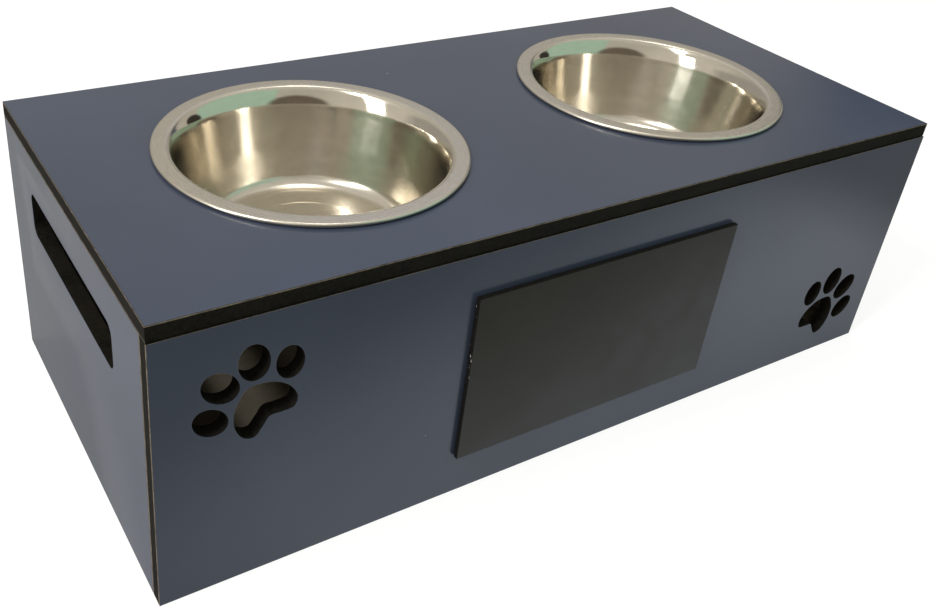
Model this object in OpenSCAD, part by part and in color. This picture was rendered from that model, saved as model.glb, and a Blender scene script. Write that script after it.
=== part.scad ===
// Raised feeding station for a dog: a laminated board box with storage inside,
// a hinged lid that carries two lift-out steel bowls, paw cut-outs and a blank plate.
// Millimetres. X runs left to right, the front faces -Y and the underside is at Z = 0.

/* [Box] */
// Width of the box
box_w = 600; // [520:5:700]
// Depth of the box from the front face to the back face
box_d = 270; // [250:5:340]
// Height from the underside to the top face of the lid
box_h = 193.5; // [180:0.5:240]
// Thickness of the laminated board
board = 10; // [8:0.5:12]
// Distance that the lid's front edge stands back from the front panel
lid_setback = 0.8; // [0:0.1:2]

/* [Bowls] */
// Distance of each bowl's centre from the middle of the box
bowl_x = 143; // [125:1:150]
// Distance of the bowl centres behind the front face
bowl_y = 136; // [125:1:145]
// Outer radius of the rolled rim
rim_r = 100; // [96:0.5:105]
// Height of the rolled rim
rim_h = 3; // [2.4:0.1:4]
// Radius at which the flat rim starts to turn down
rim_flat_r = 91.3; // [88:0.1:93]
// Radius of the turn between the flat rim and the flared mouth
turn_r = 4; // [2:0.5:6]
// Slope at the top of the flared mouth from upright, in degrees
mouth_slope = 35; // [25:1:50]
// Radius of the flared mouth's curve down to the wall
mouth_r = 30; // [15:1:40]
// Depth of the bowl floor below the rim
bowl_depth = 68; // [55:1:75]
// Slope of the wall from upright, in degrees
wall_slope = 14; // [6:1:18]
// Radius of the rounding between wall and floor
corner_r = 11; // [6:1:16]
// Thickness of the sheet steel
sheet = 0.8; // [0.6:0.1:1.2]
// Radius of the round step pressed in the floor
floor_ring_r = 43; // [25:1:50]

/* [Hand holes] */
// Length of each hand hole
slot_l = 158; // [110:1:170]
// Height of each hand hole
slot_h = 30.6; // [24:0.1:36]
// Radius of the hand hole's corners
slot_corner = 7; // [3:0.5:11]
// Distance of the hand hole's middle behind the front face
slot_y = 136; // [130:1:140]
// Height of the hand hole's middle above the underside
slot_z = 139.8; // [110:0.1:150]

/* [Paw cut-outs] */
// Distance of the left paw from the left end
paw_left_x = 54.4; // [45:0.1:75]
// Height of the left paw's middle
paw_left_z = 134.4; // [100:0.1:140]
// Distance of the right paw from the right end
paw_right_x = 50.3; // [45:0.1:75]
// Height of the right paw's middle
paw_right_z = 47.9; // [40:0.1:80]
// Lean of each paw from upright, in degrees
paw_tilt = 29; // [0:1:45]

/* [Plate] */
// Width of the blank plate
plate_w = 212; // [150:1:240]
// Height of the blank plate
plate_h = 123; // [80:1:130]
// Thickness of the blank plate
plate_t = 3.5; // [3:0.1:5]
// Height of the plate's middle above the underside
plate_z = 93.5; // [70:0.5:110]
// Thickness of the double-sided tape behind the plate
tape_t = 0.5; // [0.3:0.1:1]

/* [Hinges] */
// Length of each hinge
hinge_l = 50; // [40:1:70]
// Distance of each hinge from the middle of the box
hinge_x = 200; // [120:5:220]
// Outer radius of the hinge knuckles
knuckle_r = 2.5; // [2.2:0.1:3]
// Radius of the hinge pin
pin_r = 1.2; // [1:0.1:1.4]
// Thickness of the hinge leaves
leaf_t = 1.2; // [1:0.1:1.4]
// Reach of each leaf from the pin's centre
leaf_reach = 9; // [8.5:0.1:9.4]
// Angle at which the open lid comes to its stop
open_angle = 105; // [95:1:115]

/* [Hidden] */

navy = [0.25, 0.29, 0.36];
plate_black = [0.16, 0.15, 0.14];
steel = [0.80, 0.79, 0.76];
zinc = [0.62, 0.62, 0.60];
beech = [0.80, 0.66, 0.46];
tape_white = [0.85, 0.85, 0.83];

// gaps and small fits
rest_gap = 0.3;
glue_gap = 0.05;
run_gap = 0.05;
knuckle_gap = 0.3;
through = 1;
round_fn = 96;
small_fn = 32;

// heights: panels, lid and bowls stack up on each other
lid_z = box_h - board;
panel_h = lid_z - rest_gap;
rim_z = box_h + rest_gap + rim_h;

// the hinge axis runs along the seam under the lid, just behind the back face
axis_out = knuckle_r + rest_gap;
axis_z = lid_z - rest_gap / 2;

// a tab on each lid knuckle, which meets the box's leaf when the lid is open
stop_gap = 0.1;
stop_t = 1.1;
stop_reach = 4.9;
stop_root = 1.5;
stop_y = axis_out - leaf_t - stop_gap;
back_reach = axis_out + stop_reach * sin(open_angle) - stop_y * cos(open_angle);

// the whole depth, from the plate's face to the hinges, is centred on the origin
plate_proud = plate_t + tape_t;
front_y = plate_proud - (plate_proud + box_d + back_reach) / 2;
back_y = front_y + box_d;
half_w = box_w / 2;
axis_y = back_y + axis_out;

// dowels
dowel_r = 2.5;
dowel_l = 20;
dowel_in_face = 6;
dowel_in_edge = dowel_l - dowel_in_face;
end_gap = 0.2;
side_dowels_z = [40, 92, 145];
bottom_dowels_x = [-200, 0, 200];
bottom_dowels_y = [70, 200];

// hinge screws
screw_x = [-18, 0, 18];
screw_out = 5.6;
screw_r = 1.2;
screw_head_r = 2.2;
screw_head_t = 1;
screw_l = 9.5;
recess_l = 2.6;
recess_w = 0.5;
recess_d = 0.7;

// knuckles
knuckles = 5;
knuckle_pitch = hinge_l / knuckles;

// bowl hole in the lid
bowl_hole_r = rim_flat_r - 1.3;

// paw: toes as [u, v, half width, half height, lean], pad as the right half of a closed curve
toes = [[-25.7, 0.7, 8.3, 10.9, 22], [-10.7, 16.1, 9, 11.9, 18],
    [10.7, 16.1, 9, 11.9, -18], [25.7, 0.7, 8.3, 10.9, -22]];
pad_top = [0, 3.8];
pad_notch = [0, -22.3];
pad_side = [[6.8, 1.1], [13.4, -4.4], [18, -13], [18.3, -22.5], [13.4, -28], [6.4, -25.4]];
toe_points = 36;
pad_steps = 5;

// points on a circular arc from angle a to angle b
function arc(centre, r, a, b, n) =
    [for (i = [0:n]) centre + r * [cos(a + (b - a) * i / n), sin(a + (b - a) * i / n)]];

// points round a leaning ellipse
function oval(toe) =
    [for (i = [0:toe_points - 1])
        let (a = 360 * i / toe_points, x = toe[2] * cos(a), y = toe[3] * sin(a))
        [toe[0] + x * cos(toe[4]) - y * sin(toe[4]), toe[1] + x * sin(toe[4]) + y * cos(toe[4])]];

// one point of a smooth curve between b and c, with a before and d after
function smooth(a, b, c, d, t) =
    (2 * b + (c - a) * t + (2 * a - 5 * b + 4 * c - d) * t * t + (3 * b - a - 3 * c + d) * t * t * t) / 2;

// a smooth closed curve through the points p
function closed_curve(p, steps) =
    let (n = len(p))
    [for (i = [0:n - 1]) for (j = [0:steps - 1])
        smooth(p[(i + n - 1) % n], p[i], p[(i + 1) % n], p[(i + 2) % n], j / steps)];

function pad_outline() =
    let (left = [for (i = [len(pad_side) - 1:-1:0]) [-pad_side[i][0], pad_side[i][1]]])
    closed_curve(concat([pad_top], pad_side, [pad_notch], left), pad_steps);

// the bowl's inner face from the floor's middle to the rim, t is the offset to its outer face
function bowl_face(t) =
    let (
        n = 10,
        turn_step = (90 - mouth_slope) / n,
        floor_z = rim_z - bowl_depth,
        step = 0.8,
        turn = [rim_flat_r, rim_z - turn_r],
        mouth = turn + (mouth_r - turn_r) * [cos(mouth_slope), -sin(mouth_slope)],
        wall_top = mouth + mouth_r * [-cos(wall_slope), sin(wall_slope)],
        wall_foot_z = floor_z + corner_r * (1 - sin(wall_slope)),
        wall_foot_r = wall_top[0] - (wall_top[1] - wall_foot_z) * tan(wall_slope),
        corner = [wall_foot_r - corner_r * cos(wall_slope), floor_z + corner_r]
    )
    concat(
        [[0, floor_z + step - t], [floor_ring_r - 1.5, floor_z + step - t], [floor_ring_r + 1.5, floor_z - t]],
        arc(corner, corner_r + t, -90, -wall_slope, n),
        arc(mouth, mouth_r - t, 180 - wall_slope, 180 - mouth_slope, n),
        arc(turn, turn_r - t, 180 - mouth_slope - turn_step, 90, n)
    );

module paw_outline() {
    for (toe = toes) {
        polygon(oval(toe));
    }
    polygon(pad_outline());
}

// a flat outline cut through the front panel, seen from the front
module cut_front(x, z) {
    translate([x, front_y + board + through, z])
        rotate([90, 0, 0])
            linear_extrude(board + 2 * through)
                children();
}

module rounded_slot(l, h, r) {
    square([l - 2 * r, h], center = true);
    square([l, h - 2 * r], center = true);
    for (sx = [-1, 1]) {
        for (sy = [-1, 1]) {
            translate([sx * (l / 2 - r), sy * (h / 2 - r)])
                circle(r, $fn = small_fn);
        }
    }
}

// a board given by its lowest corner and its size
module board_at(corner, size) {
    translate(corner)
        cube(size);
}

// a round bar or bore along Y that starts at the point p
module along_y(p, r, l) {
    translate(p)
        rotate([-90, 0, 0])
            cylinder(h = l, r = r, $fn = small_fn);
}

// a round bar or bore along X that starts at the point p
module along_x(p, r, l) {
    translate(p)
        rotate([0, 90, 0])
            cylinder(h = l, r = r, $fn = small_fn);
}

// bars or bores of radius r where the front panel is dowelled to both sides and to the floor
module front_dowel_set(r, gap) {
    y = front_y + board - dowel_in_face - gap;
    l = dowel_l + 2 * gap;
    for (sx = [-1, 1]) {
        for (z = side_dowels_z) {
            along_y([sx * (half_w - board / 2), y, z], r, l);
        }
    }
}

module back_dowel_set(r, gap) {
    l = dowel_l + 2 * gap;
    for (z = side_dowels_z) {
        along_x([-half_w + board - dowel_in_face - gap, back_y - board / 2, z], r, l);
        along_x([half_w - board - dowel_in_edge - gap, back_y - board / 2, z], r, l);
    }
}

module bottom_dowel_set(r, gap) {
    l = dowel_l + 2 * gap;
    for (x = bottom_dowels_x) {
        along_y([x, front_y + board - dowel_in_face - gap, board / 2], r, l);
        along_y([x, back_y - board - dowel_in_edge - gap, board / 2], r, l);
    }
    for (y = bottom_dowels_y) {
        along_x([-half_w + board - dowel_in_face - gap, front_y + y, board / 2], r, l);
        along_x([half_w - board - dowel_in_edge - gap, front_y + y, board / 2], r, l);
    }
}

// all dowel bores, a little wider and deeper than the dowels for glue
module dowel_bores() {
    front_dowel_set(dowel_r, end_gap);
    back_dowel_set(dowel_r, end_gap);
    bottom_dowel_set(dowel_r, end_gap);
}

// places its children at each screw of both hinges, side is 1 on the lid and -1 on the box
module at_screws(side) {
    for (sx = [-1, 1]) {
        for (x = screw_x) {
            translate([sx * hinge_x + x, back_y, axis_z + side * screw_out])
                rotate([90, 0, 0])
                    children();
        }
    }
}

// a countersunk screw that points along +Z with its head's top face at z = -leaf_t
module screw(r, head_r, l) {
    translate([0, 0, -leaf_t])
        cylinder(h = screw_head_t, r1 = head_r, r2 = r, $fn = small_fn);
    translate([0, 0, -leaf_t])
        cylinder(h = l, r = r, $fn = small_fn);
}

// the cross in a screw's head
module cross_recess() {
    for (turn = [0, 90]) {
        rotate(turn)
            board_at([-recess_l / 2, -recess_w / 2, -leaf_t - through],
                [recess_l, recess_w, through + recess_d]);
    }
}

module screw_bores(side) {
    at_screws(side)
        translate([0, 0, -through])
            cylinder(h = screw_l - leaf_t + through + end_gap, r = screw_r + glue_gap, $fn = small_fn);
}

module front_panel() {
    color(navy)
        difference() {
            board_at([-half_w, front_y, 0], [box_w, board, panel_h]);
            cut_front(paw_left_x - half_w, paw_left_z)
                rotate(paw_tilt)
                    paw_outline();
            cut_front(half_w - paw_right_x, paw_right_z)
                rotate(-paw_tilt)
                    paw_outline();
            dowel_bores();
        }
}

module back_panel() {
    color(navy)
        difference() {
            board_at([-half_w + board, back_y - board, 0], [box_w - 2 * board, board, panel_h]);
            dowel_bores();
            screw_bores(-1);
        }
}

// a side panel with its hand hole, side is -1 on the left and 1 on the right
module side_panel(side) {
    x = side * (half_w - board / 2);
    color(navy)
        difference() {
            board_at([x - board / 2, front_y + board, 0], [board, box_d - board, panel_h]);
            translate([x - board / 2 - through, front_y + slot_y, slot_z])
                rotate([90, 0, 90])
                    linear_extrude(board + 2 * through)
                        rounded_slot(slot_l, slot_h, slot_corner);
            dowel_bores();
        }
}

module bottom_panel() {
    color(navy)
        difference() {
            board_at([-half_w + board, front_y + board, 0],
                [box_w - 2 * board, box_d - 2 * board, board]);
            dowel_bores();
        }
}

module dowels_front() {
    color(beech)
        front_dowel_set(dowel_r - glue_gap, 0);
}

module dowels_back() {
    color(beech)
        back_dowel_set(dowel_r - glue_gap, 0);
}

module dowels_bottom() {
    color(beech)
        bottom_dowel_set(dowel_r - glue_gap, 0);
}

module name_plate() {
    color(plate_black)
        board_at([-plate_w / 2, front_y - plate_proud, plate_z - plate_h / 2],
            [plate_w, plate_t, plate_h]);
}

module plate_tape() {
    inset = 8;
    strip_h = 19;
    color(tape_white)
        for (side = [-1, 1]) {
            board_at([-plate_w / 2 + inset, front_y - tape_t,
                plate_z - strip_h / 2 + side * (plate_h / 2 - inset - strip_h / 2)],
                [plate_w - 2 * inset, tape_t, strip_h]);
        }
}

module lid_panel() {
    color(navy)
        difference() {
            board_at([-half_w, front_y + lid_setback, lid_z], [box_w, box_d - lid_setback, board]);
            for (side = [-1, 1]) {
                translate([side * bowl_x, front_y + bowl_y, lid_z - through])
                    cylinder(h = board + 2 * through, r = bowl_hole_r, $fn = round_fn);
            }
            screw_bores(1);
        }
}

// a spun steel bowl with a flat rim that ends in a rolled bead
module bowl(side) {
    inner = bowl_face(0);
    outer = bowl_face(sheet);
    last = len(inner) - 1;
    bead_r = rim_h / 2;
    bead = [rim_r - bead_r, rim_z - bead_r];
    bead_end = -180 - asin((bead_r - sheet) / bead_r);
    color(steel)
        translate([side * bowl_x, front_y + bowl_y, 0])
            rotate_extrude($fn = round_fn)
                polygon(concat(inner, arc(bead, bead_r, 90, bead_end, 18),
                    [for (i = [last:-1:0]) outer[i]]));
}

// the tab hangs against the box's leaf when the lid is open, so it is turned back to the closed lid
module stop_tab(left) {
    translate([left, axis_y, axis_z])
        rotate([open_angle, 0, 0])
            board_at([0, -stop_y, -stop_reach],
                [knuckle_pitch - knuckle_gap, stop_t, stop_reach - stop_root]);
}

// one leaf with its knuckles, side is 1 for the lid's leaf and -1 for the box's leaf
module hinge_leaf(x, side) {
    first = side > 0 ? 1 : 0;
    foot = knuckle_r + 0.4;
    wing_z = side > 0 ? axis_z + foot : axis_z - leaf_reach;
    web_z = side > 0 ? axis_z : axis_z - foot - through;
    color(zinc)
        difference() {
            union() {
                board_at([x - hinge_l / 2, back_y, wing_z], [hinge_l, leaf_t, leaf_reach - foot]);
                for (k = [first:2:knuckles - 1]) {
                    left = x - hinge_l / 2 + k * knuckle_pitch + knuckle_gap / 2;
                    board_at([left, back_y, web_z], [knuckle_pitch - knuckle_gap, leaf_t, foot + through]);
                    along_x([left, axis_y, axis_z], knuckle_r, knuckle_pitch - knuckle_gap);
                    if (side > 0) {
                        stop_tab(left);
                    }
                }
            }
            along_x([x - hinge_l / 2 - through, axis_y, axis_z], pin_r + run_gap, hinge_l + 2 * through);
            at_screws(side)
                screw(screw_r + glue_gap, screw_head_r + glue_gap, leaf_t + through);
        }
}

// a plain pin with a low riveted head at each end
module hinge_pin(x) {
    head_t = 0.8;
    head_r = pin_r + 0.6;
    start = x - hinge_l / 2 + knuckle_gap / 2;
    l = hinge_l - knuckle_gap;
    color(zinc)
        union() {
            along_x([start - head_t, axis_y, axis_z], pin_r, l + 2 * head_t);
            along_x([start - head_t, axis_y, axis_z], head_r, head_t - glue_gap);
            along_x([start + l + glue_gap, axis_y, axis_z], head_r, head_t - glue_gap);
        }
}

module hinge_screws(side) {
    color(zinc)
        at_screws(side)
            difference() {
                screw(screw_r, screw_head_r, screw_l);
                cross_recess();
            }
}

front_panel();
back_panel();
side_panel(-1);  // side_panel_left
side_panel(1);  // side_panel_right
bottom_panel();
dowels_front();
dowels_back();
dowels_bottom();
name_plate();
plate_tape();
lid_panel();
bowl(-1);  // bowl_left
bowl(1);  // bowl_right
hinge_leaf(-hinge_x, -1);  // hinge_box_leaf_left
hinge_leaf(-hinge_x, 1);  // hinge_lid_leaf_left
hinge_pin(-hinge_x);  // hinge_pin_left
hinge_leaf(hinge_x, -1);  // hinge_box_leaf_right
hinge_leaf(hinge_x, 1);  // hinge_lid_leaf_right
hinge_pin(hinge_x);  // hinge_pin_right
hinge_screws(-1);  // hinge_screws_box
hinge_screws(1);  // hinge_screws_lid
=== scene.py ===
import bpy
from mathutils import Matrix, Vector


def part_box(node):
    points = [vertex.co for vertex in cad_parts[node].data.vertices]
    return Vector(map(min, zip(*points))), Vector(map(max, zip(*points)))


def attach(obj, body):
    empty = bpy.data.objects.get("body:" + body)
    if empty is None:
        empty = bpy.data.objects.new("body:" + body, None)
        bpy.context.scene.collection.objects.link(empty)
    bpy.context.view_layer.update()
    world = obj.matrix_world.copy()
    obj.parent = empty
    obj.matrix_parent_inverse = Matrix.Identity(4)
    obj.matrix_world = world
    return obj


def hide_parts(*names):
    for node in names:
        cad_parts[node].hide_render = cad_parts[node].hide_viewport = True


bl_info = {
    "name": "Raised dog feeder",
    "version": (1, 0, 0),
    "blender": (4, 5, 0),
    "location": "3D View > Sidebar > Feeder",
    "description": "Builds the boards, bowls, plate and finishes of a raised dog feeder with storage",
    "category": "Add Mesh",
}

import math

import bpy
from bpy.props import FloatProperty, FloatVectorProperty, IntProperty, PointerProperty
from mathutils import Vector

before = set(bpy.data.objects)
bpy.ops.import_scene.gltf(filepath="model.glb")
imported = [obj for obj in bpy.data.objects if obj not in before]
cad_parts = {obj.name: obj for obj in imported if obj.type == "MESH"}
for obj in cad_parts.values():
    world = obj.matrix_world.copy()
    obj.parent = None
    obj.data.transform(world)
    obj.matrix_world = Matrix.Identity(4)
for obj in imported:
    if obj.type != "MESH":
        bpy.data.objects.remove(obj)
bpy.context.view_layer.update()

FRONT_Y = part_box("front_panel")[0].y


# Settings

class FeederSizes(bpy.types.PropertyGroup):
    arris: FloatProperty(
        name="Arris", description="Width of the small bevel along the board edges",
        default=0.0003, min=0.0001, max=0.002, unit="LENGTH", precision=5)
    sheet_edge: FloatProperty(
        name="Laminate edge",
        description="Thickness of the laminate that shows as a line along each board edge",
        default=0.0008, min=0.0002, max=0.002, unit="LENGTH", precision=5)
    paw_tilt: FloatProperty(
        name="Paw lean", description="Lean of each paw cut-out from upright",
        default=math.radians(29), subtype="ANGLE")
    paw_left: FloatVectorProperty(
        name="Left paw", description="Middle of the left paw, across and up the front panel",
        size=2, default=(-0.2456, 0.1344), unit="LENGTH", precision=4)
    paw_right: FloatVectorProperty(
        name="Right paw", description="Middle of the right paw, across and up the front panel",
        size=2, default=(0.2497, 0.0479), unit="LENGTH", precision=4)
    slot: FloatVectorProperty(
        name="Hand hole", description="Length, height and corner radius of each hand hole",
        size=3, default=(0.158, 0.0306, 0.007), unit="LENGTH", precision=4)
    slot_place: FloatVectorProperty(
        name="Hand hole place",
        description="Middle of each hand hole, behind the front face and above the underside",
        size=2, default=(0.136, 0.1398), unit="LENGTH", precision=4)
    lid_hole_r: FloatProperty(
        name="Lid hole radius", description="Radius of the lid's round holes",
        default=0.090, unit="LENGTH", precision=4)
    rim_flat_r: FloatProperty(
        name="Flat rim", description="Radius at which the bowl's flat rim starts to turn down",
        default=0.0913, unit="LENGTH", precision=4)
    bowl_depth: FloatProperty(
        name="Bowl depth", description="Depth of the bowl's floor below its rim",
        default=0.068, unit="LENGTH", precision=4)
    sheet: FloatProperty(
        name="Steel thickness", description="Thickness of the bowl's sheet steel",
        default=0.0008, unit="LENGTH", precision=5)
    turns: IntProperty(
        name="Spin steps", description="Number of faces round each bowl",
        default=192, min=24, max=256)


class FeederColours(bpy.types.PropertyGroup):
    laminate: FloatVectorProperty(
        name="Laminate", description="Colour of the laminate's outer face",
        subtype="COLOR", size=3, default=(0.048, 0.060, 0.095), min=0, max=1)
    laminate_line: FloatVectorProperty(
        name="Laminate edge", description="Colour of the thin line where the laminate is cut",
        subtype="COLOR", size=3, default=(0.19, 0.155, 0.115), min=0, max=1)
    core: FloatVectorProperty(
        name="Board core", description="Colour of the sawn board edge",
        subtype="COLOR", size=3, default=(0.0085, 0.0075, 0.0055), min=0, max=1)
    inside: FloatVectorProperty(
        name="Inside face", description="Colour of the boards inside the box",
        subtype="COLOR", size=3, default=(0.28, 0.245, 0.185), min=0, max=1)
    plate: FloatVectorProperty(
        name="Plate", description="Colour of the blank plate",
        subtype="COLOR", size=3, default=(0.026, 0.024, 0.020), min=0, max=1)
    steel: FloatVectorProperty(
        name="Steel", description="Colour of the stainless bowls",
        subtype="COLOR", size=3, default=(0.62, 0.58, 0.50), min=0, max=1)
    zinc: FloatVectorProperty(
        name="Zinc", description="Colour of the plated hinges and screws",
        subtype="COLOR", size=3, default=(0.60, 0.60, 0.58), min=0, max=1)
    beech: FloatVectorProperty(
        name="Beech", description="Colour of the dowels",
        subtype="COLOR", size=3, default=(0.60, 0.40, 0.21), min=0, max=1)
    floor: FloatVectorProperty(
        name="Floor", description="Colour of the studio floor",
        subtype="COLOR", size=3, default=(0.29, 0.29, 0.287), min=0, max=1)


# Workshop helpers

def let_go():
    if bpy.context.mode != "OBJECT":
        bpy.ops.object.mode_set(mode="OBJECT")
    bpy.ops.object.select_all(action="DESELECT")


def take(piece):
    let_go()
    piece.select_set(True)
    bpy.context.view_layer.objects.active = piece


def edit(piece, mode="EDGE"):
    take(piece)
    bpy.ops.object.mode_set(mode="EDIT")
    bpy.ops.mesh.select_mode(type=mode)


def settle(piece, name):
    take(piece)
    bpy.ops.object.transform_apply(location=True, rotation=True, scale=True)
    piece.name = name
    piece.data.name = name
    return piece


def join(pieces):
    take(pieces[0])
    for piece in pieces[1:]:
        piece.select_set(True)
    bpy.ops.object.join()
    return bpy.context.object


def block(lo, hi):
    lo, hi = Vector(lo), Vector(hi)
    let_go()
    bpy.ops.mesh.primitive_cube_add(size=1, location=(lo + hi) / 2, scale=hi - lo)
    return bpy.context.object


def cut(piece, cutter):
    take(piece)
    bpy.ops.object.modifier_add(type="BOOLEAN")
    saw = piece.modifiers[-1]
    saw.operation = "DIFFERENCE"
    saw.solver = "EXACT"
    saw.object = cutter
    bpy.ops.object.modifier_apply(modifier=saw.name)
    bpy.data.objects.remove(cutter)


def bevel_sharp(piece, width, segments):
    edit(piece)
    bpy.ops.mesh.select_all(action="DESELECT")
    bpy.ops.mesh.edges_select_sharp(sharpness=math.radians(50))
    bpy.ops.mesh.bevel(offset=width, segments=segments, affect="EDGES", clamp_overlap=False)
    bpy.ops.object.mode_set(mode="OBJECT")


def slice_at(piece, point, normal):
    edit(piece)
    bpy.ops.mesh.select_all(action="SELECT")
    bpy.ops.mesh.bisect(plane_co=point, plane_no=normal)
    bpy.ops.object.mode_set(mode="OBJECT")


def smooth_walls(piece, angle=20):
    take(piece)
    bpy.ops.object.shade_smooth_by_angle(angle=math.radians(angle))


def give(piece, *materials):
    piece.data.materials.clear()
    for material in materials:
        piece.data.materials.append(material)


# Finishes

class Nodes:
    """A material or world node tree with short calls for the nodes used here."""

    def __init__(self, tree):
        self.tree = tree
        tree.nodes.clear()

    def add(self, kind, **settings):
        node = self.tree.nodes.new(kind)
        for key, value in settings.items():
            setattr(node, key, value)
        return node

    def link(self, source, target):
        self.tree.links.new(source, target)

    def value(self, socket, given):
        if isinstance(given, bpy.types.NodeSocket):
            self.link(given, socket)
        else:
            socket.default_value = given

    def math(self, operation, a, b=0.0, clamp=False):
        node = self.add("ShaderNodeMath", operation=operation, use_clamp=clamp)
        self.value(node.inputs[0], a)
        self.value(node.inputs[1], b)
        return node.outputs[0]

    def times(self, a, b, clamp=False):
        return self.math("MULTIPLY", a, b, clamp)

    def plus(self, a, b):
        return self.math("ADD", a, b)

    def axes(self, where):
        node = self.add("ShaderNodeSeparateXYZ")
        self.link(where, node.inputs[0])
        return [node.outputs[key] for key in "XYZ"]

    def noise(self, where, scale, detail, roughness=0.5):
        node = self.add("ShaderNodeTexNoise")
        self.link(where, node.inputs["Vector"])
        node.inputs["Scale"].default_value = scale
        node.inputs["Detail"].default_value = detail
        node.inputs["Roughness"].default_value = roughness
        return node.outputs["Fac"]

    def cells(self, where, scale):
        node = self.add("ShaderNodeTexVoronoi")
        self.link(where, node.inputs["Vector"])
        node.inputs["Scale"].default_value = scale
        return node.outputs["Distance"]

    def stretched(self, where, scale):
        node = self.add("ShaderNodeMapping")
        node.inputs["Scale"].default_value = scale
        self.link(where, node.inputs["Vector"])
        return node.outputs[0]

    def fit(self, value, lo, hi, to_lo=0.0, to_hi=1.0, kind="LINEAR"):
        node = self.add("ShaderNodeMapRange", interpolation_type=kind)
        self.link(value, node.inputs["Value"])
        for key, number in (("From Min", lo), ("From Max", hi), ("To Min", to_lo), ("To Max", to_hi)):
            node.inputs[key].default_value = number
        return node.outputs["Result"]

    def between(self, value, rise, fall):
        return self.times(self.fit(value, *rise), self.fit(value, *fall))

    def mix(self, factor, a, b):
        node = self.add("ShaderNodeMix", data_type="RGBA")
        self.value(node.inputs[0], factor)
        for socket, colour in ((node.inputs[6], a), (node.inputs[7], b)):
            self.value(socket, colour if isinstance(colour, bpy.types.NodeSocket) else (*colour, 1))
        return node.outputs[2]

    def bump(self, height, strength, distance, normal=None):
        node = self.add("ShaderNodeBump")
        node.inputs["Strength"].default_value = strength
        node.inputs["Distance"].default_value = distance
        self.link(height, node.inputs["Height"])
        if normal:
            self.link(normal, node.inputs["Normal"])
        return node.outputs["Normal"]


def finish(name):
    """A new material with a shader of its own, its node helper and its object coordinates."""
    material = bpy.data.materials.new(name)
    material.use_nodes = True
    n = Nodes(material.node_tree)
    shader = n.add("ShaderNodeBsdfPrincipled")
    n.link(shader.outputs[0], n.add("ShaderNodeOutputMaterial").inputs[0])
    where = n.add("ShaderNodeTexCoord").outputs["Object"]
    return material, n, shader, where


def shades(colour, *factors):
    return [tuple(min(1.0, c * f) for c in colour) for f in factors]


SPECK_SIZE = (0.030, 0.018)
SPECK_COLOUR = (0.45, 0.46, 0.46)


def laminate_finish(colour):
    """Navy laminate: slightly cloudy, satin, with fine orange peel and a few specks of dust."""
    material, n, shader, where = finish("navy_laminate")
    cloud = n.noise(where, scale=7, detail=4)
    peel = n.noise(where, scale=900, detail=2)
    dark, light = shades(colour, 0.90, 1.10)
    base = n.mix(n.fit(cloud, 0.3, 0.7), dark, light)
    rare = n.fit(n.noise(where, scale=11, detail=2), 0.54, 0.62)
    speck = n.times(n.fit(n.cells(where, scale=34), *SPECK_SIZE), rare, clamp=True)
    n.link(n.mix(n.times(speck, 0.35), base, SPECK_COLOUR), shader.inputs["Base Color"])
    rough = n.fit(n.noise(where, scale=9, detail=5, roughness=0.6), 0.3, 0.75, 0.19, 0.24)
    n.link(n.plus(rough, n.times(speck, 0.4)), shader.inputs["Roughness"])
    shader.inputs["Specular IOR Level"].default_value = 0.36
    n.link(n.bump(peel, strength=0.05, distance=0.0003), shader.inputs["Normal"])
    return material


def line_finish(colour):
    """The cut edge of the laminate: a paler brown line that comes and goes a little."""
    material, n, shader, where = finish("laminate_cut_line")
    pale, deep = shades(colour, 1.25, 0.45)
    patch = n.noise(where, scale=160, detail=4, roughness=0.7)
    n.link(n.mix(n.fit(patch, 0.35, 0.65), deep, pale), shader.inputs["Base Color"])
    shader.inputs["Roughness"].default_value = 0.6
    shader.inputs["Specular IOR Level"].default_value = 0.2
    return material


def core_finish(colour):
    """Sawn and waxed black-brown core, with fine marks from the blade."""
    material, n, shader, where = finish("board_core")
    marks = n.noise(where, scale=420, detail=5, roughness=0.65)
    patch = n.noise(where, scale=30, detail=4, roughness=0.6)
    deep, pale, palest = shades(colour, 0.55, 1.9, 2.6)
    base = n.mix(n.fit(marks, 0.35, 0.7), deep, pale)
    base = n.mix(n.fit(patch, 0.45, 0.8, 0, 0.5), base, palest)
    n.link(base, shader.inputs["Base Color"])
    n.link(n.fit(marks, 0.3, 0.7, 0.6, 0.75), shader.inputs["Roughness"])
    shader.inputs["Specular IOR Level"].default_value = 0.07
    n.link(n.bump(marks, strength=0.25, distance=0.0003), shader.inputs["Normal"])
    return material


def inside_finish(colour):
    """Plain brown backing sheet on the boards' inner faces, with a faint mottle."""
    material, n, shader, where = finish("inner_backing")
    mottle = n.noise(where, scale=26, detail=6, roughness=0.65)
    speckle = n.noise(where, scale=600, detail=2)
    deep, pale, palest = shades(colour, 0.75, 1.25, 2.0)
    base = n.mix(n.fit(mottle, 0.3, 0.7), deep, pale)
    base = n.mix(n.fit(speckle, 0.55, 0.75, 0, 0.25), base, palest)
    n.link(base, shader.inputs["Base Color"])
    n.link(n.fit(mottle, 0.3, 0.7, 0.45, 0.6), shader.inputs["Roughness"])
    n.link(n.bump(speckle, strength=0.1, distance=0.0003), shader.inputs["Normal"])
    return material


def plate_finish(colour):
    """Matt black-brown face of the plate."""
    material, n, shader, where = finish("plate_board")
    mottle = n.noise(where, scale=40, detail=5, roughness=0.6)
    grain = n.noise(where, scale=1100, detail=2)
    deep, pale = shades(colour, 0.85, 1.2)
    n.link(n.mix(n.fit(mottle, 0.3, 0.7), deep, pale), shader.inputs["Base Color"])
    n.link(n.fit(mottle, 0.3, 0.7, 0.44, 0.54), shader.inputs["Roughness"])
    shader.inputs["Specular IOR Level"].default_value = 0.2
    n.link(n.bump(grain, strength=0.12, distance=0.0003), shader.inputs["Normal"])
    return material


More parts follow.
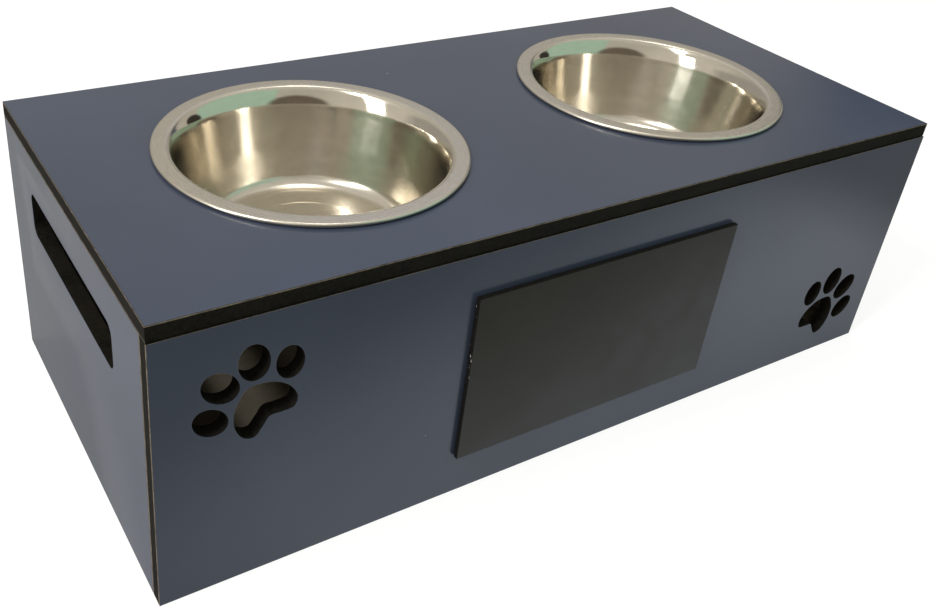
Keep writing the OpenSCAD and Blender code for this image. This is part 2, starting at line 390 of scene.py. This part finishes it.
WORN_START, WORN_FULL = 0.0011, 0.0006
CHIP_COLOUR = (0.45, 0.46, 0.48)


def plate_edge_finish(colour, left):
    """Almost black edge of the plate, with pale chips where the left edge is worn."""
    material, n, shader, where = finish("plate_edge")
    grain = n.noise(where, scale=700, detail=3)
    deep, pale = shades(colour, 0.15, 0.45)
    base = n.mix(n.fit(grain, 0.3, 0.7), deep, pale)
    x, _, _ = n.axes(where)
    worn = n.fit(x, left + WORN_START, left + WORN_FULL)
    upright = n.stretched(where, (1.6, 1.6, 0.6))
    torn = n.fit(n.noise(upright, scale=150, detail=3, roughness=0.7), 0.635, 0.655)
    chips = n.times(worn, torn, clamp=True)
    n.link(n.mix(chips, base, CHIP_COLOUR), shader.inputs["Base Color"])
    shader.inputs["Roughness"].default_value = 0.7
    shader.inputs["Specular IOR Level"].default_value = 0.1
    n.link(n.bump(grain, strength=0.2, distance=0.0003), shader.inputs["Normal"])
    return material


# distances from a bowl's axis, in metres, at which each zone's finish starts and is full
RIM_ZONE = (0.0868, 0.0892)
WALL_ZONE = (0.0850, 0.0825)
LOW_WALL_ZONE = (0.0780, 0.0745)
FLOOR_ZONE = (0.067, 0.060)


def steel_finish(colour):
    """Spun stainless: a satin flat rim, a bright mouth, a wall that smears reflections up and
    down, and a floor with turning rings.

    The plan map holds each point's place across the bowl, from its centre, in metres. The around
    map runs round the bowl and gives the direction of the wall's fine lines."""
    material, n, shader, _ = finish("spun_steel")
    plan = n.add("ShaderNodeUVMap", uv_map="plan").outputs[0]
    length = n.add("ShaderNodeVectorMath", operation="LENGTH")
    n.link(plan, length.inputs[0])
    r = length.outputs["Value"]
    rings = n.add("ShaderNodeTexNoise", noise_dimensions="1D")
    n.link(r, rings.inputs["W"])
    rings.inputs["Scale"].default_value = 900
    rings.inputs["Detail"].default_value = 4
    ring = rings.outputs["Fac"]
    x, y, _ = n.axes(plan)
    polar = n.add("ShaderNodeCombineXYZ")
    n.link(n.math("ARCTAN2", y, x), polar.inputs["X"])
    n.link(n.times(r, 60), polar.inputs["Y"])
    streak = n.noise(polar.outputs[0], scale=7, detail=5, roughness=0.7)

    satin = n.fit(r, *RIM_ZONE)
    wall = n.fit(r, *WALL_ZONE)
    low = n.fit(r, *LOW_WALL_ZONE, kind="SMOOTHSTEP")
    floor = n.fit(r, *FLOOR_ZONE)
    foot = n.math("SUBTRACT", low, floor, clamp=True)

    rough = n.plus(n.fit(streak, 0.3, 0.8, 0.05, 0.09), n.times(wall, 0.10))
    rough = n.plus(rough, n.times(foot, 0.06))
    rough = n.plus(rough, n.times(satin, n.fit(ring, 0.2, 0.8, 0.16, 0.26)))
    rough = n.plus(rough, n.times(floor, n.fit(ring, 0.3, 0.7, 0.02, 0.10)))
    n.link(rough, shader.inputs["Roughness"])
    n.link(n.times(wall, n.fit(low, 0.0, 1.0, 0.9, 0.0)), shader.inputs["Anisotropic"])
    shader.inputs["Anisotropic Rotation"].default_value = 0.25
    tangent = n.add("ShaderNodeTangent", direction_type="UV_MAP", uv_map="around")
    n.link(tangent.outputs[0], shader.inputs["Tangent"])
    deep, pale = shades(colour, 0.94, 1.04)
    n.link(n.mix(n.fit(streak, 0.3, 0.7), deep, pale), shader.inputs["Base Color"])
    shader.inputs["Metallic"].default_value = 1.0
    turned = n.times(ring, n.plus(n.times(satin, 0.4), n.times(floor, 0.5)))
    wave = n.bump(streak, strength=0.05, distance=0.0005)
    n.link(n.bump(turned, strength=0.10, distance=0.00012, normal=wave), shader.inputs["Normal"])
    return material


def zinc_finish(colour):
    """Bright zinc plate with faint crystal patches and fine rolling lines."""
    material, n, shader, where = finish("zinc_plating")
    patch = n.noise(where, scale=260, detail=3)
    lines = n.noise(n.stretched(where, (0.06, 1, 1)), scale=2600, detail=3)
    deep, pale = shades(colour, 0.82, 1.08)
    n.link(n.mix(n.fit(patch, 0.3, 0.7), deep, pale), shader.inputs["Base Color"])
    n.link(n.fit(lines, 0.3, 0.7, 0.24, 0.42), shader.inputs["Roughness"])
    shader.inputs["Metallic"].default_value = 1.0
    n.link(n.bump(lines, strength=0.12, distance=0.0001), shader.inputs["Normal"])
    return material


def beech_finish(colour):
    """Beech dowel with short grain flecks."""
    material, n, shader, where = finish("beech_dowel")
    grain = n.noise(n.stretched(where, (1, 0.15, 1)), scale=900, detail=4, roughness=0.6)
    deep, pale = shades(colour, 0.7, 1.15)
    n.link(n.mix(n.fit(grain, 0.35, 0.65), deep, pale), shader.inputs["Base Color"])
    n.link(n.fit(grain, 0.3, 0.7, 0.5, 0.7), shader.inputs["Roughness"])
    n.link(n.bump(grain, strength=0.3, distance=0.0003), shader.inputs["Normal"])
    return material


# painted shade for the foam's cell pits, and the foam's own white
PIT_SHADE_COLOUR = (0.52, 0.52, 0.50)
FOAM_COLOUR = (0.78, 0.78, 0.76)


def tape_finish():
    """White foam tape with small open cells, whose sunk middles are darkened with painted shade."""
    material, n, shader, where = finish("foam_tape")
    far = n.cells(where, scale=2200)
    # painted shade: the colour darkens toward each cell's middle, where the bump sinks it
    n.link(n.mix(n.fit(far, 0.1, 0.6), PIT_SHADE_COLOUR, FOAM_COLOUR), shader.inputs["Base Color"])
    shader.inputs["Roughness"].default_value = 0.8
    n.link(n.bump(far, strength=0.4, distance=0.0004), shader.inputs["Normal"])
    return material


# The painted reflection: the floor glows for the boards' glossy rays alone, and shows in them as a
# painted reflection. Each ramp says where it starts and ends, in metres, and then its strength there.
# The one in front is a band that slants by GLOW_SLANT.
GLOW_SLANT = 0.19
GLOW_OUTER = (-0.38, -0.20, 0.0, 0.84)
GLOW_INNER = (-0.17, -0.08, 1.0, 0.45)
GLOW_RIGHT = (0.42, 0.56, 1.0, 0.1)
GLOW_LEFT = (-0.30, -0.20, 0.6, 1.0)
GLOW_BESIDE = (-0.44, -0.33, 0.04, 0.15)
CORNER_X = (-0.33, -0.36)
CORNER_Y = (0.22, 0.10, 0.0, 0.12)
FRONT_SIDE = (-0.125, -0.135)
SEEN_GLOW = 0.78
# tint of the painted reflection that the boards show of the floor
PAINTED_REFLECTION_TINT = (0.94, 1.0, 1.09)


def painted_floor_reflection(n, x, y):
    """How strong the painted reflection of a glowing floor is in the boards: a slanting band in
    front, and less beside them.
    """
    band = n.plus(y, n.times(x, GLOW_SLANT))
    ahead = n.times(n.fit(band, *GLOW_OUTER, "SMOOTHSTEP"), n.fit(band, *GLOW_INNER))
    ahead = n.times(ahead, n.fit(x, *GLOW_RIGHT))
    ahead = n.times(ahead, n.fit(x, *GLOW_LEFT))
    corner = n.times(n.fit(x, *CORNER_X), n.fit(y, *CORNER_Y))
    beside = n.plus(n.fit(x, *GLOW_BESIDE), corner)
    front = n.fit(y, *FRONT_SIDE)
    return n.plus(n.times(front, ahead), n.times(n.math("SUBTRACT", 1.0, front), beside))


def floor_finish(colour):
    """Pale studio floor, which keeps the feeder's shadow and runs out to white. For glossy rays alone
    it also glows, as a painted reflection in the boards.
    """
    material, n, shader, where = finish("studio_floor")
    cloud = n.noise(where, scale=3, detail=3)
    n.link(n.mix(cloud, *shades(colour, 0.995, 1.005)), shader.inputs["Base Color"])
    shader.inputs["Roughness"].default_value = 0.9
    shader.inputs["Specular IOR Level"].default_value = 0.1
    x, y, _ = n.axes(where)
    path = n.add("ShaderNodeLightPath")
    direct = n.math("MAXIMUM", path.outputs["Is Camera Ray"], path.outputs["Is Transmission Ray"])
    # painted reflection: the floor glows for glossy rays only, brightening the boards where they
    # mirror it
    painted_reflection = n.times(path.outputs["Is Glossy Ray"], painted_floor_reflection(n, x, y))
    n.link(n.mix(direct, PAINTED_REFLECTION_TINT, (1.0, 1.0, 1.0)), shader.inputs["Emission Color"])
    n.link(n.plus(n.times(direct, SEEN_GLOW), painted_reflection), shader.inputs["Emission Strength"])
    return material


def board_finishes(colours):
    """A board's finishes, in the order of OUTER, LINE, CORE and INNER."""
    return [laminate_finish(colours.laminate), line_finish(colours.laminate_line),
            core_finish(colours.core), inside_finish(colours.inside)]


finishes = {}


def shared(key, make):
    if key not in finishes:
        finishes[key] = make()
    return finishes[key]


# Boards

OUTER, LINE, CORE, INNER = range(4)
SQUARE_ON = 0.98        # a face this square to the outward direction takes a sheet's finish
ROUGHLY_ON = 0.5        # this is enough round the openings, where only their small bevels slope
RIM_WIDTH = 0.001       # a face this near a board's outline belongs to its edge
NEARLY_LEVEL = 0.7      # edges that look up or down more than this show no laminate line
SIDEWAYS = 0.5          # the lid's lower line shows only on edges that look to a side
UPRIGHT_LINE = 1.5      # the line is this much wider on upright boards than on level ones


def dress_board(piece, outward, sizes, colours):
    """Softens a sawn board's edges, marks its laminate lines, and gives each face its finish."""
    outward = Vector(outward)
    bevel_sharp(piece, sizes.arris, 2)
    levels = [vertex.co.dot(outward) for vertex in piece.data.vertices]
    near, far = max(levels), min(levels)
    upright = outward.z == 0
    sheet = sizes.sheet_edge * (UPRIGHT_LINE if upright else 1)
    for level in (near - sheet, far + sheet):
        slice_at(piece, outward * level, outward)
    give(piece, *shared("boards", lambda: board_finishes(colours)))
    lo, hi = (Vector(corner) for corner in (piece.bound_box[0], piece.bound_box[6]))
    across = [k for k in range(3) if not outward[k]]
    for face in piece.data.polygons:
        facing = face.normal.dot(outward)
        level = face.center.dot(outward)
        inset = min(min(face.center[k] - lo[k], hi[k] - face.center[k]) for k in across)
        rim = inset < RIM_WIDTH
        shows = rim and abs(face.normal.z) < NEARLY_LEVEL
        lower = level < far + sheet and (upright or abs(face.normal.x) > SIDEWAYS)
        if facing > (SQUARE_ON if rim else ROUGHLY_ON):
            face.material_index = OUTER
        elif facing < -SQUARE_ON:
            face.material_index = INNER
        elif shows and (level > near - sheet or lower):
            face.material_index = LINE
        else:
            face.material_index = CORE
    smooth_walls(piece)


MM = 0.001
# a paw in millimetres: each toe's middle, half width, half height and lean in degrees, and the
# marks on the right half of the pad's outline
TOES = [(-25.7, 0.7, 8.3, 10.9, 22), (-10.7, 16.1, 9, 11.9, 18),
        (10.7, 16.1, 9, 11.9, -18), (25.7, 0.7, 8.3, 10.9, -22)]
PAD = [(0, 3.8), (6.8, 1.1), (13.4, -4.4), (18, -13), (18.3, -22.5), (13.4, -28), (6.4, -25.4),
       (0, -22.3)]
TOE_POINTS = 64
PAD_STEPS = 8


def pad_curve(steps):
    """Points of a smooth closed curve through the pad's marks, in millimetres."""
    marks = [Vector(p) for p in PAD] + [Vector((-x, y)) for x, y in reversed(PAD[1:-1])]
    count = len(marks)
    points = []
    for i in range(count):
        a, b, c, d = (marks[(i + k) % count] for k in (-1, 0, 1, 2))
        for j in range(steps):
            t = j / steps
            points.append((2 * b + (c - a) * t + (2 * a - 5 * b + 4 * c - d) * t ** 2
                           + (3 * b - a - 3 * c + d) * t ** 3) / 2)
    return points


def paw_cutter(middle, lean, depth, y):
    """A solid paw that stands through the front panel, made flat and then stood up."""
    parts = []
    for u, v, half_w, half_h, tilt in TOES:
        let_go()
        bpy.ops.mesh.primitive_cylinder_add(
            vertices=TOE_POINTS, radius=1, depth=depth, location=(u * MM, v * MM, 0),
            rotation=(0, 0, math.radians(tilt)), scale=(half_w * MM, half_h * MM, 1))
        parts.append(bpy.context.object)
    outline = pad_curve(PAD_STEPS)
    let_go()
    bpy.ops.mesh.primitive_circle_add(vertices=len(outline), radius=1, fill_type="NGON")
    pad = bpy.context.object
    for vertex, point in zip(pad.data.vertices, reversed(outline)):
        vertex.co = (point.x * MM, point.y * MM, -depth / 2)
    edit(pad, "FACE")
    bpy.ops.mesh.select_all(action="SELECT")
    bpy.ops.mesh.extrude_region_move(TRANSFORM_OT_translate={"value": (0, 0, depth)})
    bpy.ops.mesh.select_all(action="SELECT")
    bpy.ops.mesh.normals_make_consistent(inside=False)
    bpy.ops.object.mode_set(mode="OBJECT")
    parts.append(pad)
    paw = settle(join(parts), "paw_cutter")
    paw.rotation_euler = (0, 0, lean)
    settle(paw, "paw_cutter")
    paw.rotation_euler = (math.radians(90), 0, 0)
    paw.location = (middle[0], y, middle[1])
    return settle(paw, "paw_cutter")


def hand_hole_cutter(x, sizes):
    """A bar with rounded corners that stands through a side board."""
    length, height, corner = sizes.slot
    y, z = FRONT_Y + sizes.slot_place[0], sizes.slot_place[1]
    reach = 0.02
    cutter = settle(block((x - reach, y - length / 2, z - height / 2),
                          (x + reach, y + length / 2, z + height / 2)), "hand_hole_cutter")
    for edge in cutter.data.edges:
        a, b = (cutter.data.vertices[i].co for i in edge.vertices)
        edge.select = abs(a.x - b.x) > reach
    for item in list(cutter.data.vertices) + list(cutter.data.polygons):
        item.select = False
    edit(cutter)
    bpy.ops.mesh.bevel(offset=corner, segments=12, affect="EDGES")
    bpy.ops.object.mode_set(mode="OBJECT")
    return cutter


def replace_board(name, node, body, outward, sizes, colours, cutters=()):
    piece = settle(block(*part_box(node)), name)
    for cutter in cutters:
        cut(piece, cutter)
    dress_board(piece, outward, sizes, colours)
    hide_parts(node)
    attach(piece, body)


class FEEDER_OT_front_board(bpy.types.Operator):
    """Make the front board with its two paw cut-outs"""
    bl_idname = "feeder.front_board"
    bl_label = "Front board"

    def execute(self, context):
        sizes, colours = context.scene.feeder_sizes, context.scene.feeder_colours
        lo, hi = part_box("front_panel")
        y, depth = (lo.y + hi.y) / 2, 3 * (hi.y - lo.y)
        paws = [paw_cutter(sizes.paw_left, sizes.paw_tilt, depth, y),
                paw_cutter(sizes.paw_right, -sizes.paw_tilt, depth, y)]
        replace_board("front_board", "front_panel", "box", (0, -1, 0), sizes, colours, paws)
        return {"FINISHED"}


class FEEDER_OT_side_boards(bpy.types.Operator):
    """Make both side boards, each with a long hand hole"""
    bl_idname = "feeder.side_boards"
    bl_label = "Side boards"

    def execute(self, context):
        sizes, colours = context.scene.feeder_sizes, context.scene.feeder_colours
        for side, way in (("left", -1), ("right", 1)):
            node = "side_panel_" + side
            lo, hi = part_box(node)
            cutter = hand_hole_cutter((lo.x + hi.x) / 2, sizes)
            replace_board("side_board_" + side, node, "box", (way, 0, 0), sizes, colours, [cutter])
        return {"FINISHED"}


class FEEDER_OT_plain_boards(bpy.types.Operator):
    """Make the back board and the floor board, which have no openings"""
    bl_idname = "feeder.plain_boards"
    bl_label = "Back and floor boards"

    def execute(self, context):
        sizes, colours = context.scene.feeder_sizes, context.scene.feeder_colours
        replace_board("back_board", "back_panel", "box", (0, 1, 0), sizes, colours)
        replace_board("floor_board", "bottom_panel", "box", (0, 0, -1), sizes, colours)
        return {"FINISHED"}


class FEEDER_OT_lid_board(bpy.types.Operator):
    """Make the lid with its two round holes"""
    bl_idname = "feeder.lid_board"
    bl_label = "Lid"

    def execute(self, context):
        sizes, colours = context.scene.feeder_sizes, context.scene.feeder_colours
        lo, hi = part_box("lid_panel")
        cutters = []
        for node in ("bowl_left", "bowl_right"):
            middle = sum(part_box(node), Vector()) / 2
            let_go()
            bpy.ops.mesh.primitive_cylinder_add(
                vertices=sizes.turns, radius=sizes.lid_hole_r, depth=3 * (hi.z - lo.z),
                location=(middle.x, middle.y, (lo.z + hi.z) / 2))
            cutters.append(settle(bpy.context.object, "bowl_hole_cutter"))
        replace_board("lid_board", "lid_panel", "lid", (0, 0, 1), sizes, colours, cutters)
        return {"FINISHED"}


# Plate, bowls and hardware

PLATE_ARRIS = 0.0006
PLATE_FACE = 0.9        # faces that look forwards or backwards more than this aren't its edge


class FEEDER_OT_plate(bpy.types.Operator):
    """Make the bare plate with softened edges"""
    bl_idname = "feeder.plate"
    bl_label = "Plate"

    def execute(self, context):
        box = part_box("name_plate")
        plate = settle(block(*box), "blank_plate")
        bevel_sharp(plate, PLATE_ARRIS, 4)
        smooth_walls(plate, 35)
        colour = context.scene.feeder_colours.plate
        give(plate, plate_finish(colour), plate_edge_finish(colour, box[0].x))
        for face in plate.data.polygons:
            face.material_index = 0 if abs(face.normal.y) > PLATE_FACE else 1
        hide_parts("name_plate")
        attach(plate, "box")
        return {"FINISHED"}


# the bowl's section, in metres: the radii of its corner, its wall's bow, its mouth and the turn
# into the flat rim, and the rim's points
CORNER_R, WALL_R, MOUTH_R, TURN_R = 0.011, 0.345, 0.030, 0.004
WALL_SLOPE, MOUTH_SLOPE = math.radians(14), math.radians(35)
RIM_POINTS = (0.0935, 0.0960)
RIM_H = 0.003
# radius and height of the floor's points, from its raised middle to the corner
FLOOR_STEP = ((0.0, 0.0008), (0.020, 0.0008), (0.0405, 0.0008), (0.0415, 0.00072),
              (0.0422, 0.0005), (0.0429, 0.0002), (0.0438, 0.00003), (0.0450, 0.0), (0.053, 0.0))
MERGE = 0.000002        # points nearer than this, at the axis and the seam, become one
AROUND_SCALE = 10       # the around map's height for each metre of the section


def arc(centre, radius, start, end, steps):
    turns = [start + (end - start) * i / steps for i in range(steps + 1)]
    return [(centre[0] + radius * math.cos(a), centre[1] + radius * math.sin(a)) for a in turns]


def bowl_face(t, rim_z, sizes):
    """Radius and height of the bowl's inner face from its middle to the rim, set back by t.

    The floor's corner and the mouth are arcs, and a third arc, much larger, bows the wall
    outwards between them. Its centre, the crown, is where it touches both."""
    floor_z = rim_z - sizes.bowl_depth
    turn = (sizes.rim_flat_r, rim_z - TURN_R)
    mouth = (turn[0] + (MOUTH_R - TURN_R) * math.cos(MOUTH_SLOPE),
             turn[1] - (MOUTH_R - TURN_R) * math.sin(MOUTH_SLOPE))
    top_r = mouth[0] - MOUTH_R * math.cos(WALL_SLOPE)
    top_z = mouth[1] + MOUTH_R * math.sin(WALL_SLOPE)
    foot_z = floor_z + CORNER_R * (1 - math.sin(WALL_SLOPE))
    foot_r = top_r - (top_z - foot_z) * math.tan(WALL_SLOPE)
    corner = (foot_r - CORNER_R * math.cos(WALL_SLOPE), floor_z + CORNER_R)

    across, up, reach = mouth[0] - corner[0], mouth[1] - corner[1], WALL_R - CORNER_R
    gap = math.hypot(across, up)
    lean = math.atan2(up, across) + math.acos(
        (reach ** 2 + gap ** 2 - (WALL_R + MOUTH_R) ** 2) / (2 * reach * gap))
    crown = (corner[0] + reach * math.cos(lean), corner[1] + reach * math.sin(lean))
    foot_slope = math.pi - lean
    top_slope = math.atan2(crown[1] - mouth[1], mouth[0] - crown[0])

    floor = [(r, floor_z + h - t) for r, h in FLOOR_STEP]
    wall = arc(corner, CORNER_R + t, -math.pi / 2, -foot_slope, 16)
    wall += arc(crown, WALL_R + t, -foot_slope, -top_slope, 20)[1:-1]
    flare = arc(mouth, MOUTH_R - t, math.pi - top_slope, math.pi - MOUTH_SLOPE, 16)
    lip = arc(turn, TURN_R - t, math.pi - MOUTH_SLOPE, math.pi / 2, 12)[1:]
    return floor + wall + flare + lip + [(r, rim_z - t) for r in RIM_POINTS]


def bowl_profile(rim_z, rim_r, sizes):
    """The bowl's closed section: its inner face, the rolled edge, and back along the outside."""
    inner = bowl_face(0.0, rim_z, sizes)
    outer = bowl_face(sizes.sheet, rim_z, sizes)
    bead_r = RIM_H / 2
    end = -math.pi - math.asin((bead_r - sizes.sheet) / bead_r)
    bead = arc((rim_r - bead_r, rim_z - bead_r), bead_r, math.pi / 2, end, 30)
    return inner + bead + outer[::-1]


def map_bowl(bowl, middle):
    """Lays the bowl's plan map and around map, which steel_finish reads."""
    plan = bowl.data.uv_layers.new(name="plan")
    around = bowl.data.uv_layers.new(name="around")
    on_axis = 0.0001
    for face in bowl.data.polygons:
        heading = math.atan2(face.center.y - middle.y, face.center.x - middle.x)
        for index in face.loop_indices:
            place = bowl.data.vertices[bowl.data.loops[index].vertex_index].co
            x, y = place.x - middle.x, place.y - middle.y
            r = math.hypot(x, y)
            turn = math.remainder(math.atan2(y, x) - heading, math.tau) if r > on_axis else 0.0
            plan.data[index].uv = (x, y)
            around.data[index].uv = (heading + turn, AROUND_SCALE * (r + place.z))


def spin_bowl(name, box, sizes):
    """Spins the section of a bowl, drawn on a ring of points, about the bowl's own axis."""
    middle = (box[0] + box[1]) / 2
    outline = bowl_profile(box[1].z, (box[1].x - box[0].x) / 2, sizes)
    let_go()
    bpy.ops.mesh.primitive_circle_add(vertices=len(outline), radius=1)
    bowl = bpy.context.object
    for vertex, (r, z) in zip(bowl.data.vertices, outline):
        vertex.co = (middle.x + r, middle.y, z)
    edit(bowl)
    bpy.ops.mesh.select_all(action="SELECT")
    bpy.ops.mesh.spin(
        steps=sizes.turns, angle=math.tau, center=(middle.x, middle.y, 0), axis=(0, 0, 1))
    bpy.ops.mesh.select_all(action="SELECT")
    bpy.ops.mesh.remove_doubles(threshold=MERGE)
    bpy.ops.mesh.normals_make_consistent(inside=False)
    bpy.ops.object.mode_set(mode="OBJECT")
    settle(bowl, name)
    smooth_walls(bowl, 35)
    map_bowl(bowl, middle)
    return bowl


class FEEDER_OT_bowls(bpy.types.Operator):
    """Spin the two steel bowls"""
    bl_idname = "feeder.bowls"
    bl_label = "Bowls"

    def execute(self, context):
        sizes = context.scene.feeder_sizes
        steel = steel_finish(context.scene.feeder_colours.steel)
        for side in ("left", "right"):
            node = "bowl_" + side
            bowl = spin_bowl("steel_bowl_" + side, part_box(node), sizes)
            give(bowl, steel)
            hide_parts(node)
            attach(bowl, node)
        return {"FINISHED"}


class FEEDER_OT_hardware(bpy.types.Operator):
    """Finish the hinges, screws, dowels and tape"""
    bl_idname = "feeder.hardware"
    bl_label = "Hinges, screws, dowels and tape"

    def execute(self, context):
        colours = context.scene.feeder_colours
        by_start = {"hinge": zinc_finish(colours.zinc), "dowels": beech_finish(colours.beech),
                    "plate_tape": tape_finish()}
        for node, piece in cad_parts.items():
            for start, material in by_start.items():
                if node.startswith(start):
                    for place in piece.material_slots:
                        place.material = material
        return {"FINISHED"}


# Stage

# each soft light's name, place, width, height, power and colour; all point at LIT_POINT
LIT_POINT = (0, 0, 0.1)
LAMPS = (
    ("window_left", (-3.2, -0.3, 1.4), 0.95, 2.0, 34, (1.0, 0.995, 0.98)),
    ("window_high", (-2.3, -0.6, 2.6), 0.5, 0.5, 44, (1.0, 0.995, 0.98)),
    ("ceiling", (0.2, 0.3, 2.8), 0.6, 0.5, 8, (1.0, 0.97, 0.92)),
)

# the photograph's camera, solved from the box's straight edges
CAMERA_PLACE = (-0.41965, FRONT_Y - 0.37758, 0.48605)
CAMERA_TURN = (59.003, -4.7182, -31.2313)
CAMERA_LENS, CAMERA_SENSOR = 39.6, 36
CAMERA_SHIFT = (0.07488, -0.07846)
CAMERA_CLIP = (0.01, 50)

FLOOR_RADIUS = 9
FLOOR_Z = -0.0002       # just under the feeder, so that the two faces don't fight

# The room that the steel mirrors, by direction. A ramp says where it starts and is full, and
# then how strong it is there: headings are in radians, and the rest are a direction's X, Y or Z.
ROOM_RIGHT, ROOM_LEFT = (0.60, 0.57, 0.51), (0.78, 0.74, 0.66)
TO_LEFT = (-0.3, -0.9)
CURTAIN, CURTAIN_START, CURTAIN_END = (0.50, 0.70, 0.58), (-1.49, -1.44), (-0.10, -0.14)
FAR_WALL, FAR_LOW, FAR_BACK = (0.43, 0.41, 0.38), (0.44, 0.33), (0.35, 0.55, 0.0, 0.85)
DOORWAY, DOORWAY_START, DOORWAY_END = (0.03, 0.05, 0.10), (0.36, 0.42), (0.62, 0.56)
DOORWAY_TOP = (0.44, 0.37)
CEILING, CEILING_RAMP = (0.74, 0.71, 0.65), (0.62, 0.82)
# round patches: direction, the closeness to it where it starts and is full, and colour
ROOM_PATCHES = (
    ((0.464, 0.663, 0.588), 0.980, 0.995, (0.66, 0.66, 0.74)),
    ((-0.242, -0.970, 0.0), 0.86, 0.92, (0.18, 0.15, 0.12)),
    ((0.995, -0.03, 0.10), 0.985, 0.992, (0.05, 0.045, 0.04)),
)


def soft_light(name, place, width, height, power, colour):
    lamp = bpy.data.lights.new(name, "AREA")
    lamp.shape = "RECTANGLE"
    lamp.size, lamp.size_y = width, height
    lamp.energy = power
    lamp.color = colour
    stand = bpy.data.objects.new(name, lamp)
    bpy.context.scene.collection.objects.link(stand)
    stand.location = place
    toward = Vector(LIT_POINT) - Vector(place)
    stand.rotation_euler = toward.to_track_quat("-Z", "Y").to_euler()


def studio_world():
    """A room for the steel to mirror, with plain white where the camera looks past the floor."""
    world = bpy.data.worlds.new("studio")
    world.use_nodes = True
    bpy.context.scene.world = world
    n = Nodes(world.node_tree)
    where = n.add("ShaderNodeTexCoord").outputs["Generated"]
    x, y, z = n.axes(where)
    heading = n.math("ARCTAN2", y, x)
    room = n.mix(n.fit(x, *TO_LEFT, kind="SMOOTHSTEP"), ROOM_RIGHT, ROOM_LEFT)
    room = n.mix(n.between(heading, CURTAIN_START, CURTAIN_END), room, CURTAIN)
    room = n.mix(n.times(n.fit(z, *FAR_LOW), n.fit(y, *FAR_BACK)), room, FAR_WALL)
    doorway = n.times(n.between(heading, DOORWAY_START, DOORWAY_END), n.fit(z, *DOORWAY_TOP))
    room = n.mix(doorway, room, DOORWAY)
    for toward, start, full, paint in ROOM_PATCHES:
        near = n.add("ShaderNodeVectorMath", operation="DOT_PRODUCT")
        n.link(where, near.inputs[0])
        near.inputs[1].default_value = toward
        room = n.mix(n.fit(near.outputs["Value"], start, full, kind="SMOOTHSTEP"), room, paint)
    sky = n.mix(n.fit(z, *CEILING_RAMP, kind="SMOOTHSTEP"), room, CEILING)
    shader = n.add("ShaderNodeBackground")
    seen = n.add("ShaderNodeLightPath").outputs["Is Camera Ray"]
    n.link(n.mix(seen, sky, (1.0, 1.0, 1.0)), shader.inputs["Color"])
    shader.inputs["Strength"].default_value = 1.0
    n.link(shader.outputs[0], n.add("ShaderNodeOutputWorld").inputs[0])


def photo_camera():
    lens = bpy.data.cameras.new("camera")
    lens.lens, lens.sensor_width = CAMERA_LENS, CAMERA_SENSOR
    lens.shift_x, lens.shift_y = CAMERA_SHIFT
    lens.clip_start, lens.clip_end = CAMERA_CLIP
    camera = bpy.data.objects.new("camera", lens)
    bpy.context.scene.collection.objects.link(camera)
    camera.location = CAMERA_PLACE
    camera.rotation_euler = [math.radians(angle) for angle in CAMERA_TURN]
    bpy.context.scene.camera = camera


class FEEDER_OT_stage(bpy.types.Operator):
    """Set up the floor, soft lights, world and camera"""
    bl_idname = "feeder.stage"
    bl_label = "Stage"

    def execute(self, context):
        let_go()
        bpy.ops.mesh.primitive_circle_add(
            vertices=96, radius=FLOOR_RADIUS, fill_type="NGON", location=(0, 0, FLOOR_Z))
        floor = settle(context.object, "studio_floor")
        give(floor, floor_finish(context.scene.feeder_colours.floor))
        studio_world()
        for lamp in LAMPS:
            soft_light(*lamp)
        photo_camera()
        context.scene.view_settings.view_transform = "Standard"
        return {"FINISHED"}


# Panel and run

OPERATORS = (FEEDER_OT_front_board, FEEDER_OT_side_boards, FEEDER_OT_plain_boards,
             FEEDER_OT_lid_board, FEEDER_OT_plate, FEEDER_OT_bowls, FEEDER_OT_hardware,
             FEEDER_OT_stage)


class FEEDER_PT_panel(bpy.types.Panel):
    bl_idname = "FEEDER_PT_panel"
    bl_label = "Raised dog feeder"
    bl_space_type = "VIEW_3D"
    bl_region_type = "UI"
    bl_category = "Feeder"

    def draw(self, context):
        for group in (context.scene.feeder_sizes, context.scene.feeder_colours):
            column = self.layout.column()
            for key in group.__annotations__:
                column.prop(group, key)
        for operator in OPERATORS:
            self.layout.operator(operator.bl_idname)


CLASSES = (FeederSizes, FeederColours, *OPERATORS, FEEDER_PT_panel)


def register():
    for cls in CLASSES:
        bpy.utils.register_class(cls)
    bpy.types.Scene.feeder_sizes = PointerProperty(type=FeederSizes)
    bpy.types.Scene.feeder_colours = PointerProperty(type=FeederColours)


def unregister():
    del bpy.types.Scene.feeder_colours
    del bpy.types.Scene.feeder_sizes
    for cls in reversed(CLASSES):
        bpy.utils.unregister_class(cls)


def main():
    register()
    bpy.ops.feeder.front_board()
    bpy.ops.feeder.side_boards()
    bpy.ops.feeder.plain_boards()
    bpy.ops.feeder.lid_board()
    bpy.ops.feeder.plate()
    bpy.ops.feeder.bowls()
    bpy.ops.feeder.hardware()
    bpy.ops.feeder.stage()


if __name__ == "__main__":
    main()
